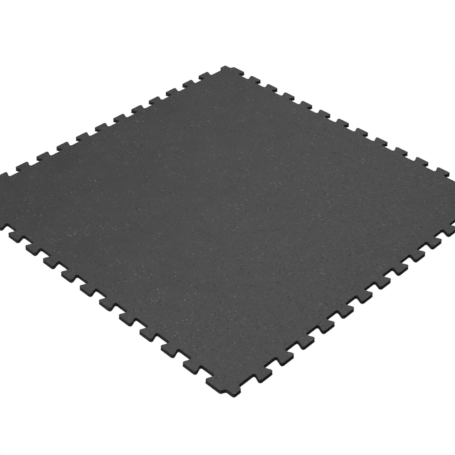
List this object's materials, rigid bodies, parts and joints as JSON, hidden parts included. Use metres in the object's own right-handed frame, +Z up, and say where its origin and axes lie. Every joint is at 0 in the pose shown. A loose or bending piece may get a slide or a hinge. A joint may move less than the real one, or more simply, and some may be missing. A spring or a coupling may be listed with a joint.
{
  "type": "interlocking pvc floor tile",
  "caption": "Flat square floor tile of dark grey flexible PVC, with dovetail teeth along every side that lock into the sockets of like tiles.",
  "frame": {"origin": "centre of the underside, on the floor that the tile lies on", "axes": "+Z up through the walking face, +X and +Y square to two neighbouring sides"},
  "size_m": [0.5124, 0.5124, 0.005],
  "materials": {
    "pvc": "matte, with a fine pebbled grain on the walking face and smooth edges"
  },
  "bodies": {
    "root": {"floor_tile": "pvc"}
  },
  "joints": []
}
